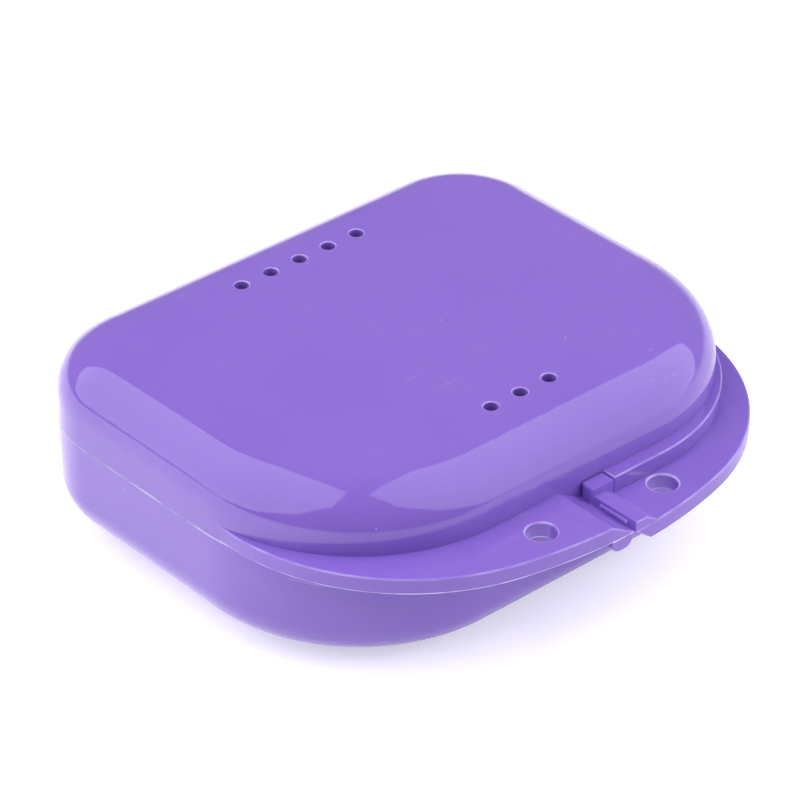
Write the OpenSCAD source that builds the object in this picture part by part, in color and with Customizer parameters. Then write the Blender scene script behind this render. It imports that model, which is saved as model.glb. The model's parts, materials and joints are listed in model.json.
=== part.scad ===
// Denture case: two moulded half shells, a tub and a domed lid, that meet on a
// flat parting plane. They are joined by a snap hinge along the back and close
// with two overlapping thumb flanges at the front.
//
// Both halves carry the same flange, rim and hinge features. The base has the
// lid's set turned half a turn about the front-to-back axis, so each feature is
// drawn once here, above a parting plane at z = 0, for the lid.
//
// Frame: x across, the flanges at -y, z up from the face it stands on.

/* [Case] */
// Width of the case, side to side
case_w = 80; // [66:1:100]
// Depth of the case without flanges and hinge
case_d = 65; // [54:1:80]
// Corner radius in plan at the front
front_r = 26; // [20:0.5:27]
// Corner radius in plan at the back
back_r = 14; // [13.5:0.5:17]
// Wall thickness of both halves
wall = 1.5; // [1:0.1:2]

/* [Base] */
// Height of the tub, from the face it stands on to the parting plane
base_h = 17; // [14:0.5:24]
// Reach of the tub's bottom rounding, measured across
base_round_r = 12.3; // [11:0.1:13]
// Height of the tub's bottom rounding
base_round_h = 8.6; // [7.5:0.1:10]

/* [Lid] */
// Height of the lid above the parting plane
lid_h = 11; // [9:0.5:16]
// Reach of the lid's edge rounding, measured across
lid_round_r = 8.7; // [7.5:0.1:9.5]
// Height of the lid's edge rounding
lid_round_h = 7.3; // [6.8:0.1:8.2]
// Lean of all outer walls, for release from the mould, in degrees
draft = 1.8; // [0.5:0.1:3]

/* [Vents] */
// Diameter of one vent hole in the lid
vent_d = 2; // [1:0.1:3]
// Distance between neighbouring vent holes
vent_pitch = 5; // [4:0.1:6]
// Number of vent holes in the back row
back_vents = 5; // [3:2:7]
// Number of vent holes in the front row
front_vents = 3; // [1:2:5]
// Distance of each row from the front or the back of the case
vent_inset = 10.9; // [10.4:0.1:20]

/* [Thumb flanges] */
// How far the flanges stand out in front of the case
flange_reach = 10.1; // [8:0.1:14]
// Thickness of a flange
flange_t = 2.3; // [1.8:0.1:2.8]
// Radius of the flange outline across the front
flange_front_r = 70; // [60:1:100]
// Radius of the flange outline round the corner
flange_corner_r = 30; // [26:0.5:32]
// How far the flange's outline lies inside the case at the sides
flange_inset = 0.2; // [0.1:0.05:0.5]
// Diameter of the hole in each flange
eye_d = 4; // [3:0.1:5]
// Distance of each hole from the middle of the case
eye_x = 10.6; // [8:0.1:14]
// Distance of each hole behind the flange's front edge
eye_back = 5.5; // [4:0.1:6]

/* [Rims] */
// How far the narrow rim stands out in front of the case
rim_reach = 2; // [1:0.1:2.4]
// How far the rim's outline lies inside the case at the sides
rim_inset = 1.2; // [0.8:0.1:2]
// Corner radius of the rim's outline
rim_r = 25.6; // [20:0.1:28]

/* [Latch] */
// Distance of the ramp's upper edge from the middle, at the end of each flange
ramp_x = 3.4; // [2:0.1:5]
// Height of the blunt toe that ends a ramp
toe_h = 0.2; // [0.1:0.05:0.3]
// Distance of the base's flange end and latch rib from the middle
latch_x = 0.65; // [0.5:0.05:1.5]
// Gap between the lid's toe and the base's latch rib
latch_gap = 0.4; // [0.25:0.05:0.5]
// Width of the latch rib
rib_w = 1.9; // [1.2:0.1:3]
// Height of the latch rib above its flange
rib_h = 1.3; // [1.25:0.05:2]
// Run of the slope on the rib's outer side
rib_slope = 1.7; // [0.5:0.1:2.5]
// Height of the rib's snap bead above the parting plane
bead_z = 0.8; // [0.75:0.05:0.9]
// Radius of the snap bead
bead_r = 0.5; // [0.45:0.05:0.5]
// Length of the snap bead
bead_len = 3.5; // [2:0.1:5]
// Distance of each keying block from the middle
key_x = 0.4; // [0.4:0.05:1]
// Width of a keying block
key_w = 3.9; // [3:0.1:5]
// How far a keying block stands out past the rim
key_proud = 0.3; // [0:0.05:0.6]
// Clearance round a keying block
key_gap = 0.2; // [0.1:0.05:0.4]
// Drop of the thumb tab under the lid's flange
tab_drop = 1.8; // [1:0.1:2.2]
// Width of the thumb tab
tab_w = 3.6; // [3:0.1:5]
// Corner radius of the thumb tab
tab_r = 1.4; // [0.5:0.1:1.5]
// Length of the thumb tab, front to back
tab_len = 6; // [3:0.1:7]

/* [Hinge] */
// Diameter of the moulded hinge bars
bar_d = 2.4; // [2:0.1:3]
// Running clearance round a hinge bar, on the radius
bar_gap = 0.06; // [0.03:0.01:0.1]
// Wall of the clip that snaps over a bar
clip_wall = 0.9; // [0.7:0.05:1.2]
// Length of one clip
clip_len = 10; // [6:0.5:14]
// Opening of a clip's mouth, in degrees
clip_mouth = 80; // [60:5:100]
// Thickness of the ears that hold a hinge bar
ear_t = 1.8; // [1.2:0.1:2.5]
// Play between a clip and the ears beside it
ear_gap = 0.3; // [0.2:0.05:0.5]
// Distance of the inner ears from the middle of the case
hinge_x = 6; // [4:0.5:12]
// Height of the hinge arms where they meet the back wall
arm_h = 3.4; // [2.5:0.1:3.6]
// Gap between the hinge barrel and the back walls
barrel_gap = 0.2; // [0.15:0.05:0.5]

/* [Hidden] */
$fn = 96;
lean = tan(draft);
front_y = -case_d / 2;
back_y = case_d / 2;
flange_y = front_y - flange_reach;
toe_x = latch_x - latch_gap;
barrel_r = bar_d / 2 + bar_gap + clip_wall;
hinge_y = back_y + barrel_r + barrel_gap;
// How far a cutter reaches past what it cuts
over = 1;
// Tiny overlap where two curved faces would only touch
lap = 0.0003;
// Direction in which the two arcs of a rounding meet, on a 3-4-5 triangle
turn = [0.6, 0.8];
// Directions just below level and just past the middle, where an arc's slice starts or ends
below_level = [1, -0.05];
past_middle = [0.1, -1];
// Steps to the millimetre that both neighbours of a joint share exactly
grid_steps = 10000;
// Direction that the middle of a clip's mouth faces, in degrees from the back
mouth_turn = -45;
eye_chamfer = 0.2;
step_in = 0.1;
purple = [0.55, 0.42, 0.86];

// Flat slice of a disc between two directions less than a half turn apart
module wedge(r, from, to) {
    intersection() {
        circle(r);
        polygon([[0, 0], 2 * r * from, 2 * r * (from + to), 2 * r * to]);
    }
}

// The profile turned about a vertical axis at (x, y), with x as its radius
module sector(x, y, start, sweep) {
    translate([x, y, 0])
        rotate([0, 0, start])
            rotate_extrude(angle = sweep)
                children();
}

// The same profile run straight for a length along +y, facing +x
module run(x, y, length) {
    translate([x, y + length, 0])
        rotate([90, 0, 0])
            linear_extrude(length)
                children();
}

// A point rounded to the shared grid
function grid(v) = [for (c = v) round(c * grid_steps) / grid_steps];

// Half section of a shell edge, x = 0 at the foot of the outer wall: a leaning wall,
// then two arcs that meet in the direction "turn", moved in by "inset" about the same centres
module edge_section(reach, height, round_r, round_h, inset, cut) {
    span = (round_r - round_h) / (turn.x + turn.y - 1);
    side_r = round_h - (1 - turn.y) * span;
    c1 = grid([lap - side_r / cos(draft) - lean * (height - round_h), height - round_h]);
    c2 = c1 - span * turn;
    foot = grid(c1 + (side_r - lap - inset) * [cos(draft), sin(draft)]);
    root = grid([lean * cut - inset / cos(draft), -cut]);
    polygon([
        [-reach, -cut], root, foot, c1, c2, [c2.x, height - inset], [-reach, height - inset]
    ]);
    translate(c1) wedge(side_r - inset, below_level, turn);
    translate(c2) wedge(side_r + span - inset, turn, [0, 1]);
}

// Solid dome on the case's plan, all its outer faces moved in by "inset"
module dome(height, round_r, round_h, inset, cut) {
    half_w = case_w / 2;
    front_cx = half_w - front_r;
    back_cx = half_w - back_r;
    front_cy = front_y + front_r;
    back_cy = back_y - back_r;
    module section(reach)
        translate([reach, 0])
            edge_section(reach, height, round_r, round_h, inset, cut);
    for (side = [0, 1]) mirror([side, 0, 0]) {
        sector(front_cx, front_cy, -90, 90) section(front_r);
        sector(back_cx, back_cy, 0, 90) section(back_r);
        run(back_cx, front_cy, back_cy - front_cy) section(back_r);
    }
    translate([-back_cx, back_cy, 0]) rotate([0, 0, 90])
        run(0, -2 * back_cx, 2 * back_cx) section(back_r);
    translate([-front_cx, front_cy, 0]) rotate([0, 0, -90])
        run(0, 0, 2 * front_cx) section(front_r);
    translate([-back_cx, front_cy, -cut])
        cube([2 * back_cx, back_cy - front_cy, height - inset + cut]);
}

// Bar along y with the given section in x and z
module along_y(y, length)
    translate([0, y + length, 0]) rotate([90, 0, 0]) linear_extrude(length) children();

// Bar along x with the given section in y and z
module along_x(x, length)
    translate([x, 0, 0]) rotate([90, 0, 90]) linear_extrude(length) children();

// Plan of the flange's left half: an arc across the front and one round the corner,
// both ended inside the case, where the hollow takes them away
module flange_plan() {
    side_x = case_w / 2 - flange_inset;
    centre_y = flange_y + flange_front_r;
    spread = flange_front_r - flange_corner_r;
    swing = asin((side_x - flange_corner_r) / spread);
    outward = [-sin(swing), -cos(swing)];
    corner = grid([0, centre_y] + (spread + lap) * outward);
    end_y = front_y + front_r - over;
    intersection() {
        translate([0, centre_y]) wedge(flange_front_r, outward, past_middle);
        translate([-case_w, flange_y - over]) square([2 * case_w, end_y - flange_y + over]);
    }
    translate(corner) wedge(flange_corner_r, [-1, 0], [0, -1]);
    translate([corner.x - flange_corner_r, corner.y])
        square([flange_corner_r, end_y - corner.y]);
}

// The thumb flange on the left front quarter, ramped down to a toe at its end
module flange(toe) {
    difference() {
        linear_extrude(flange_t) flange_plan();
        along_y(flange_y - over, case_d + 2 * flange_reach)
            polygon([
                [toe, -over], [toe, toe_h], [-ramp_x, flange_t],
                [-ramp_x - over, flange_t + over], [case_w, flange_t + over], [case_w, -over]
            ]);
        translate([-eye_x, flange_y + eye_back, 0]) eye();
    }
}

// Hole through a flange, with a small countersink on both faces
module eye() {
    r = eye_d / 2;
    wide = r + eye_chamfer + over;
    rotate_extrude()
        polygon([
            [0, -over], [wide, -over], [r, eye_chamfer],
            [r, flange_t - eye_chamfer], [wide, flange_t + over], [0, flange_t + over]
        ]);
}

// The narrow rim on the right front quarter, up to the other half's keying block
module rim() {
    corner_x = case_w / 2 - rim_inset - rim_r;
    rim_y = front_y - rim_reach;
    start_x = key_x + key_w + key_gap;
    linear_extrude(flange_t) {
        translate([corner_x, rim_y + rim_r]) wedge(rim_r, [0, -1], [1, 0]);
        translate([start_x, rim_y]) square([corner_x - start_x, rim_r]);
    }
}

// The block that stands across the parting plane in the gap of the other half's rim
module keying_block() {
    depth = rim_reach + key_proud - key_gap;
    translate([-key_x - key_w, front_y - key_gap - depth, -flange_t])
        cube([key_w, depth, flange_t]);
    translate([-key_x - key_w, front_y - key_gap - depth, 0])
        cube([key_w, depth + key_gap + wall / 2, flange_t]);
}

// Section of a hinge arm: a disc on the hinge axis and a web up to the back wall
module arm_section() {
    offset_y = hinge_y - back_y;
    tangent = atan2(arm_h, -offset_y) - acos(barrel_r / norm([offset_y, arm_h]));
    translate([hinge_y, 0]) circle(barrel_r);
    polygon([
        [back_y - wall / 2, 0], [hinge_y, 0],
        [hinge_y, 0] + (barrel_r - lap) * [cos(tangent), sin(tangent)],
        [back_y, arm_h], [back_y - wall / 2, arm_h]
    ]);
}

// A hinge bar held between two ears, on the right
module hinge_bar() {
    gap = clip_len + 2 * ear_gap;
    for (x = [hinge_x, hinge_x + ear_t + gap])
        along_x(x, ear_t) arm_section();
    along_x(hinge_x + ear_t / 2, gap + ear_t)
        translate([hinge_y, 0]) circle(d = bar_d);
}

// A clip that snaps over the other half's bar, on the left; its mouth faces out and down
module hinge_clip() {
    reach = 2 * barrel_r;
    along_x(-hinge_x - ear_t - ear_gap - clip_len, clip_len)
        difference() {
            arm_section();
            translate([hinge_y, 0]) {
                circle(bar_d / 2 + bar_gap);
                rotate(mouth_turn)
                    polygon([
                        [0, 0],
                        [reach, -reach * tan(clip_mouth / 2)],
                        [reach, reach * tan(clip_mouth / 2)]
                    ]);
            }
        }
}

// One half in the parting frame: a hollow dome with flange, rim, keying block and hinge
module half_shell(height, round_r, round_h, toe) {
    difference() {
        union() {
            dome(height, round_r, round_h, 0, 0);
            flange(toe);
            rim();
            keying_block();
            hinge_bar();
            hinge_clip();
        }
        dome(height, round_r, round_h, wall, over);
    }
}

// One row of vent holes through the lid's top
module vent_row(count, y)
    for (i = [0 : count - 1])
        translate([(i - (count - 1) / 2) * vent_pitch, y, lid_h - wall - over])
            cylinder(d = vent_d, h = wall + 2 * over);

// Rib at the end of the base's flange, with the bead that holds the lid's toe down
module latch_rib() {
    rib_y = flange_y + step_in;
    rib_len = front_y - rim_reach - rib_y;
    outer_x = latch_x + rib_w + rib_slope;
    along_y(rib_y, rib_len)
        polygon([
            [latch_x, -toe_h], [latch_x, rib_h], [latch_x + rib_w, rib_h],
            [outer_x, 0], [outer_x, -toe_h]
        ]);
    along_y(rib_y + (rib_len - bead_len) / 2, bead_len)
        translate([latch_x, bead_z]) circle(bead_r);
}

// Rounded tab under the end of the lid's flange, for a thumb nail
module thumb_tab() {
    along_y(flange_y + step_in, tab_len)
        translate([toe_x - step_in - tab_w, tab_r - tab_drop]) {
            square([tab_w, tab_drop - tab_r]);
            translate([tab_r, -tab_r]) square([tab_w - 2 * tab_r, tab_r]);
            translate([tab_r, 0]) wedge(tab_r, [-1, 0], [0, -1]);
            translate([tab_w - tab_r, 0]) wedge(tab_r, [0, -1], [1, 0]);
        }
}

module base() color(purple) translate([0, 0, base_h]) {
    rotate([0, 180, 0]) half_shell(base_h, base_round_r, base_round_h, -latch_x);
    latch_rib();
}

module lid() color(purple) translate([0, 0, base_h]) {
    difference() {
        half_shell(lid_h, lid_round_r, lid_round_h, toe_x);
        vent_row(back_vents, back_y - vent_inset);
        vent_row(front_vents, front_y + vent_inset);
    }
    thumb_tab();
}

base();
lid();
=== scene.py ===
# %% [markdown]
# # A moulded denture case
#
# The case is two thin polypropylene half shells: a tub, and a domed lid with eight vent holes.
# They snap together at a hinge along the back and overlap in two thumb flanges at the front.
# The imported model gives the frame: where each half sits, where the hinge is, how large the whole is.
# What it can't give is the look of a moulding, which lives in small roundings, in a skin that
# mirrors a lamp almost cleanly, and in the thin bright line where the two halves meet.
# So each half is modelled again here, on the same sizes, and stands in for its node.

# %% Load the frame
import json
import math

import bmesh
import bpy
import numpy as np
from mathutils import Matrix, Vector


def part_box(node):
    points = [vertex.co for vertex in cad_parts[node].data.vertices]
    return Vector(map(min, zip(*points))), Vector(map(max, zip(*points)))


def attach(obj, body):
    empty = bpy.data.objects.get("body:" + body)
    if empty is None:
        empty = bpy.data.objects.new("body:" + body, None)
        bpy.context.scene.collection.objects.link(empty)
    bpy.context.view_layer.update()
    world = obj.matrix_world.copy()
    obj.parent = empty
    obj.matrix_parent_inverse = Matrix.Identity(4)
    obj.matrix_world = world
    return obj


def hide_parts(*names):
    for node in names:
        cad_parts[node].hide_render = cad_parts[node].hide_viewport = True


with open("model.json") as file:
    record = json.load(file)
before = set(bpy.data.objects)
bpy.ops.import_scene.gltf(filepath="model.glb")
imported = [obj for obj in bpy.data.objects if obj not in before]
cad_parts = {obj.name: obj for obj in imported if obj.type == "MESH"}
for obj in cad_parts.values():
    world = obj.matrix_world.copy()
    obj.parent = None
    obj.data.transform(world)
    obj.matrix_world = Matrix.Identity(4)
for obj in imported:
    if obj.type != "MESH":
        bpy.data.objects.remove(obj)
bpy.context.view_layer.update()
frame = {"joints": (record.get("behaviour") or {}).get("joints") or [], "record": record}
scene = bpy.context.scene
scene.view_settings.view_transform = "Standard"

# %% [markdown]
# ## Sizes
#
# A mould maker thinks in millimetres, and so does this script: every form is drawn in millimetres
# above a parting plane at z = 0, and scaled to metres once, when it is finished. The outer sizes
# come from the frame. The rest are the sizes a caliper would find on the real case.

# %% Driving sizes, in millimetres
MM = 0.001
lid_low, lid_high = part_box("lid")
hinge = frame["joints"][0]
mounts = {mount["name"]: mount for mount in frame["record"]["mounts"]}

CASE_W = (lid_high.x - lid_low.x) / MM
CASE_D = 65.0
FRONT_R, BACK_R = 26.0, 14.0
WALL = 1.5
DRAFT = math.radians(1.8)
PARTING = hinge["pos_m"][2] / MM
LID_H = lid_high.z / MM - PARTING
HINGE_Y = hinge["pos_m"][1] / MM
FRONT_Y, BACK_Y = -CASE_D / 2, CASE_D / 2
FLANGE_Y = lid_low.y / MM
FLANGE_T = 2.3
print(f"case {CASE_W:.1f} x {CASE_D:.1f} mm, parting plane at {PARTING:.1f}, lid {LID_H:.1f} high")

# %% [markdown]
# ## Outlines
#
# Every detail starts as an outline of arcs and corners. Moving it inwards keeps its edges parallel,
# as a cutter does that follows a template, so each point slides along the mitre of its corner.


# %% Arcs and moved outlines
def arc(centre, radius, start, end, steps):
    """Points along an arc between two angles in degrees."""
    angles = np.radians(np.linspace(start, end, steps + 1))
    return np.column_stack([centre[0] + radius * np.cos(angles), centre[1] + radius * np.sin(angles)])


def moved_in(outline, distance):
    """A closed outline, anticlockwise, with each edge moved inwards by distance."""
    before = outline - np.roll(outline, 1, axis=0)
    after = np.roll(outline, -1, axis=0) - outline
    normals = []
    for edge in (before, after):
        length = np.linalg.norm(edge, axis=1, keepdims=True)
        normals.append(np.column_stack([-edge[:, 1], edge[:, 0]]) / length)
    mitre = (normals[0] + normals[1]) / (1 + (normals[0] * normals[1]).sum(1, keepdims=True))
    return outline + mitre * np.reshape(distance, (-1, 1))


square = np.array([(0, 0), (4, 0), (4, 4), (0, 4)], float)
print("a 4 mm square moved in by 1 mm:", moved_in(square, 1).tolist())

# %% [markdown]
# ## Slabs
#
# Every moulded detail here is a slab: an outline, pushed from one level to another, with its rims
# rounded by the radius a cutter leaves in the mould. Rounding each slab before it is joined keeps
# the bevel clean, because a slab has simple corners and the finished half doesn't. The outline is
# moved inwards ring by ring, so the rounding is a true quarter circle. A slab that runs across or
# along the case is turned as its points are placed.

# %% A slab with rounded rims
ROUND_STEPS = 3
THIN_SHARE = 0.45  # where a slab is thin, a rim takes at most this share of its thickness


def add_object(name, data):
    added = bpy.data.objects.new(name, data)
    scene.collection.objects.link(added)
    return added


def mesh_piece(name, points, faces):
    mesh = bpy.data.meshes.new(name)
    mesh.from_pydata([tuple(p) for p in points], [], faces)
    mesh.update()
    return add_object(name, mesh)


def slab(name, outline, low, high, rounding, turn=lambda p: p):
    """The outline pushed from low to high, both rims rounded. low and high may be functions of
    the outline's points, for a slab that thins out along its length."""
    outline = np.asarray(outline, float)
    count = len(outline)
    level = [f if callable(f) else (lambda p, f=f: np.full(len(p), float(f))) for f in (low, high)]
    radius = np.minimum(rounding, THIN_SHARE * (level[1](outline) - level[0](outline)))
    rings = []
    for side, ends in ((0, (0, 90)), (1, (90, 0))):
        for angle in np.radians(np.linspace(*ends, ROUND_STEPS + 1)):
            ring = moved_in(outline, radius * (1 - math.sin(angle)))
            offset = radius * (1 - math.cos(angle)) * (1 if side == 0 else -1)
            rings.append(np.column_stack([ring, level[side](ring) + offset]))
    faces = [tuple(range(count))[::-1]]
    for k in range(len(rings) - 1):
        for i in range(count):
            j = (i + 1) % count
            faces.append((k * count + i, k * count + j, (k + 1) * count + j, (k + 1) * count + i))
    faces.append(tuple(range((len(rings) - 1) * count, len(rings) * count)))
    return mesh_piece(name, [turn(p) for p in np.vstack(rings)], faces)


def along_x(p):
    return (p[2], p[0], p[1])


def along_y(p):
    return (p[0], -p[2], p[1])


print("each rim is rounded in", ROUND_STEPS, "steps of", 90 // ROUND_STEPS, "degrees")

# %% [markdown]
# ## Joining and cutting
#
# Blender's manifold solver is made for closed solids like these: it is quick and its result is
# closed again, which a later cut needs. Every modifier here is turned into a
# plain mesh at once and removed, so that no step depends on a live one.

# %% Booleans
SOLVER = "MANIFOLD"


def settle(piece, step):
    """Turns a piece and its one modifier into a plain mesh."""
    bpy.context.view_layer.update()
    depsgraph = bpy.context.evaluated_depsgraph_get()
    mesh = bpy.data.meshes.new_from_object(piece.evaluated_get(depsgraph))
    piece.modifiers.remove(step)
    piece.data = mesh


def combine(piece, tool, operation):
    step = piece.modifiers.new(operation, "BOOLEAN")
    step.object, step.operation, step.solver = tool, operation, SOLVER
    settle(piece, step)
    bpy.data.objects.remove(tool)


def recalculate(piece):
    work = bmesh.new()
    work.from_mesh(piece.data)
    bmesh.ops.recalc_face_normals(work, faces=work.faces)
    work.to_mesh(piece.data)
    work.free()


def join(piece, details):
    for detail in details:
        recalculate(detail)
        combine(piece, detail, "UNION")


print("solver:", SOLVER.lower())

# %% [markdown]
# ## Nodes
#
# One small function adds any node, so that a tree reads as a list of steps. Both geometry trees
# open with named inputs for their sizes. They end by making instances real, which the export
# needs, and by setting a material. Its input stays empty: a half gets its material when finished.


# %% Adding a node, opening and closing a tree
def add_node(tree, kind, links=(), **settings):
    """One node with its properties, its input values by name or number, and its links."""
    node = tree.nodes.new(kind)
    inputs = settings.pop("inputs", {})
    for key, value in settings.items():
        setattr(node, key, value)
    for key, value in inputs.items():
        node.inputs[key].default_value = value
    for source, key in links:
        tree.links.new(source, node.inputs[key])
    return node


def open_tree(name, inputs):
    """A geometry tree and its given values, from pairs of an input's name and kind."""
    tree = bpy.data.node_groups.new(name, "GeometryNodeTree")
    for label, kind in (("Geometry", "Geometry"), *inputs, ("Material", "Material")):
        tree.interface.new_socket(label, in_out="INPUT", socket_type="NodeSocket" + kind)
    tree.interface.new_socket("Geometry", in_out="OUTPUT", socket_type="NodeSocketGeometry")
    return tree, add_node(tree, "NodeGroupInput").outputs


def close_tree(tree, given, shape):
    real = add_node(tree, "GeometryNodeRealizeInstances", [(shape, 0)])
    finish = add_node(tree, "GeometryNodeSetMaterial",
                      [(real.outputs[0], "Geometry"), (given["Material"], "Material")])
    add_node(tree, "NodeGroupOutput", [(finish.outputs[0], 0)])
    return tree


print("trees are built in Blender", bpy.app.version_string)

# %% [markdown]
# A tree runs on an empty carrier. Each input is set by its socket's identifier before the carrier
# is first evaluated, and the result is taken off as a plain mesh.


# %% Running a tree
def run_tree(name, tree, values):
    carrier = mesh_piece(name, [], [])
    step = carrier.modifiers.new("tree", "NODES")
    step.node_group = tree
    for item in tree.interface.items_tree:
        if item.in_out == "INPUT" and item.name in values:
            step[item.identifier] = values[item.name]
    settle(carrier, step)
    print(tree.name, "made", len(carrier.data.vertices), "points for", name)
    return carrier


# %% [markdown]
# ## The shell, swept round its plan
#
# The form of each half follows one rule: the same edge section runs round the plan of the case, a
# rectangle with large corners at the front and small ones at the back. Geometry Nodes can say just
# that: a quadrilateral curve, a Fillet Curve whose radius depends on which side of the middle a
# corner lies, and Curve to Mesh with the section as its profile. The section is an input, so the
# same tree makes the outside and the inside of both halves.

# %% The sweep tree
SWEEP_STEPS, FILLET_STEPS = 320, 64


def shell_tree():
    tree, given = open_tree("shell_sweep", [
        ("Section", "Object"), ("Width", "Float"), ("Depth", "Float"),
        ("Front radius", "Float"), ("Back radius", "Float"), ("Steps", "Int")])
    plan = add_node(tree, "GeometryNodeCurvePrimitiveQuadrilateral",
                    [(given["Width"], "Width"), (given["Depth"], "Height")])
    place = add_node(tree, "GeometryNodeInputPosition")
    split = add_node(tree, "ShaderNodeSeparateXYZ", [(place.outputs[0], 0)])
    in_front = add_node(tree, "FunctionNodeCompare", [(split.outputs["Y"], 0)],
                        operation="LESS_THAN", inputs={1: 0.0})
    radius = add_node(tree, "GeometryNodeSwitch", [
        (in_front.outputs[0], "Switch"), (given["Back radius"], "False"),
        (given["Front radius"], "True")], input_type="FLOAT")
    corners = add_node(tree, "GeometryNodeFilletCurve",
                       [(plan.outputs[0], "Curve"), (radius.outputs[0], "Radius")],
                       mode="POLY", inputs={"Count": FILLET_STEPS})
    even = add_node(tree, "GeometryNodeResampleCurve",
                    [(corners.outputs[0], "Curve"), (given["Steps"], "Count")])
    upright = add_node(tree, "GeometryNodeSetCurveNormal", [(even.outputs[0], "Curve")], mode="Z_UP")
    section = add_node(tree, "GeometryNodeObjectInfo", [(given["Section"], "Object")])
    sweep = add_node(tree, "GeometryNodeCurveToMesh", [
        (upright.outputs[0], "Curve"), (section.outputs["Geometry"], "Profile Curve")])
    return close_tree(tree, given, sweep.outputs[0])


SHELL_TREE = shell_tree()
print(SHELL_TREE.name, "tree:", len(SHELL_TREE.nodes), "nodes,", SWEEP_STEPS, "steps round the plan")

# %% [markdown]
# ## The edge section
#
# The edge section is what makes the case look soft: a wall that leans by its draft, then two arcs.
# A tight one turns in from the wall and a wide one runs out flat into the top, which reads as a
# soft pillow edge where a single arc would read as a pipe. The arcs meet in tangent where both
# face along (0.6, 0.8). The inside has the same centres with radii one wall less, as a mould's
# core has, so the wall is even.

# %% The edge section
LID_ROUND, BASE_ROUND = (8.7, 7.3), (12.3, 8.6)  # how far in, and how far down, the rounding goes
MEET_OUT, MEET_UP = 0.6, 0.8
DROP_SHARE, SPAN_SHARE = 0.2, 0.4  # 1 - MEET_UP, and MEET_OUT - DROP_SHARE
TIGHT_STEPS, WIDE_STEPS = 12, 10


def edge_section(height, rounding, inset):
    """Points from the foot of the wall to the flat, as (outwards, up)."""
    reach, drop = rounding
    span = (reach - drop) / SPAN_SHARE
    side_r = drop - DROP_SHARE * span
    first = np.array([-side_r / math.cos(DRAFT) - math.tan(DRAFT) * (height - drop), height - drop])
    second = first - span * np.array([MEET_OUT, MEET_UP])
    turn = math.degrees(math.atan2(MEET_UP, MEET_OUT))
    tight = arc(first, side_r - inset, math.degrees(DRAFT), turn, TIGHT_STEPS)
    wide = arc(second, side_r + span - inset, turn, 90, WIDE_STEPS)
    return np.vstack([tight, wide[1:]])


def wall_x(z, inset):
    return -inset / math.cos(DRAFT) - math.tan(DRAFT) * z


for label, size, rounding in (("lid", LID_H, LID_ROUND), ("base", PARTING, BASE_ROUND)):
    start = edge_section(size, rounding, 0)[0]
    print(label, "wall is straight up to %.1f mm and leans in %.2f mm" % (start[1], -start[0]))

# %% [markdown]
# ## From section to solid
#
# The sweep is an open band. It is closed with one face at its foot and with shrinking rings on
# top, so that the large flat has points to bend at. The lid's flat falls a sixth of a millimetre
# towards its edge, as a moulded panel does when it cools, and that bends the lamps' reflections.

# %% Closing the sweep
CAP_RINGS = 7
CROWN = 0.16


def section_curve(section):
    curve = bpy.data.curves.new("section", "CURVE")
    curve.dimensions = "2D"
    spline = curve.splines.new("POLY")
    spline.points.add(len(section) - 1)
    for point, (x, z) in zip(spline.points, section):
        point.co = (x, -z, 0, 1)
    return add_object("section", curve)


def lowered(points, section, crown):
    """Lets the points above half height fall towards the edge, by crown at most."""
    top = section[-1][1]
    foot = section[np.argmax(section[:, 1] > 0.5 * top)][1]
    rise = np.clip((points[:, 2] - foot) / (top - foot), 0, 1)
    reach = (points[:, 0] / (CASE_W / 2)) ** 2 + (points[:, 1] / (CASE_D / 2)) ** 2
    points[:, 2] -= crown * rise ** 2 * np.minimum(reach, 1)


def swept_solid(name, section, crown=0.0):
    drawn = section_curve(section)
    ring = run_tree(name, SHELL_TREE, {
        "Section": drawn, "Width": CASE_W, "Depth": CASE_D, "Front radius": FRONT_R,
        "Back radius": BACK_R, "Steps": SWEEP_STEPS})
    points = np.array([v.co for v in ring.data.vertices])
    faces = [tuple(f.vertices) for f in ring.data.polygons]
    bpy.data.objects.remove(drawn)
    bpy.data.objects.remove(ring)
    rows, per_row = len(points) // len(section), len(section)
    edge = np.arange(rows) * per_row + per_row - 1
    rings, last = [points], edge
    centre = np.array([0, 0, section[-1][1]])
    for share in np.linspace(1, 0, CAP_RINGS + 2)[1:-1]:
        fresh = sum(len(r) for r in rings) + np.arange(rows)
        rings.append(centre + (points[edge] - centre) * share)
        faces += [(last[i], last[i - 1], fresh[i - 1], fresh[i]) for i in range(rows)]
        last = fresh
    faces.append(tuple(last))
    faces.append(tuple((np.arange(rows) * per_row)[::-1]))
    points = np.vstack(rings)
    if crown:
        lowered(points, section, crown)
    solid = mesh_piece(name, points, [tuple(int(i) for i in f) for f in faces])
    recalculate(solid)
    return solid


print(CAP_RINGS, "rings close a sweep, and the lid falls", CROWN, "mm")

# %% [markdown]
# Two solids make a half: its outside, and the cavity that is cut from it. The edges at the parting
# plane are rounded, and the small groove this leaves between the halves gives the seam its bright
# line, which the material also paints as pale flash with a painted highlight. The cavity runs on
# below the plane, so that it cuts clean through.

# %% Outside and cavity
SEAM_R = 0.14
RUN_OUT = 1.0  # how far a cutter stands out of what it cuts


def shell_solid(name, height, rounding, crown):
    seam = arc((wall_x(SEAM_R, 0) - SEAM_R, SEAM_R), SEAM_R, -90, 0, ROUND_STEPS)
    return swept_solid(name, np.vstack([seam, edge_section(height, rounding, 0)]), crown)


def cavity_solid(name, height, rounding):
    x = wall_x(0, WALL)
    mouth = arc((x + SEAM_R, SEAM_R), SEAM_R, 270, 180, ROUND_STEPS)
    run_out = [(mouth[0][0], -RUN_OUT)]
    return swept_solid(name, np.vstack([run_out, mouth, edge_section(height, rounding, WALL)]))


print("wall at the parting plane: %.3f mm, measured level" % (wall_x(0, 0) - wall_x(0, WALL)))

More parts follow.
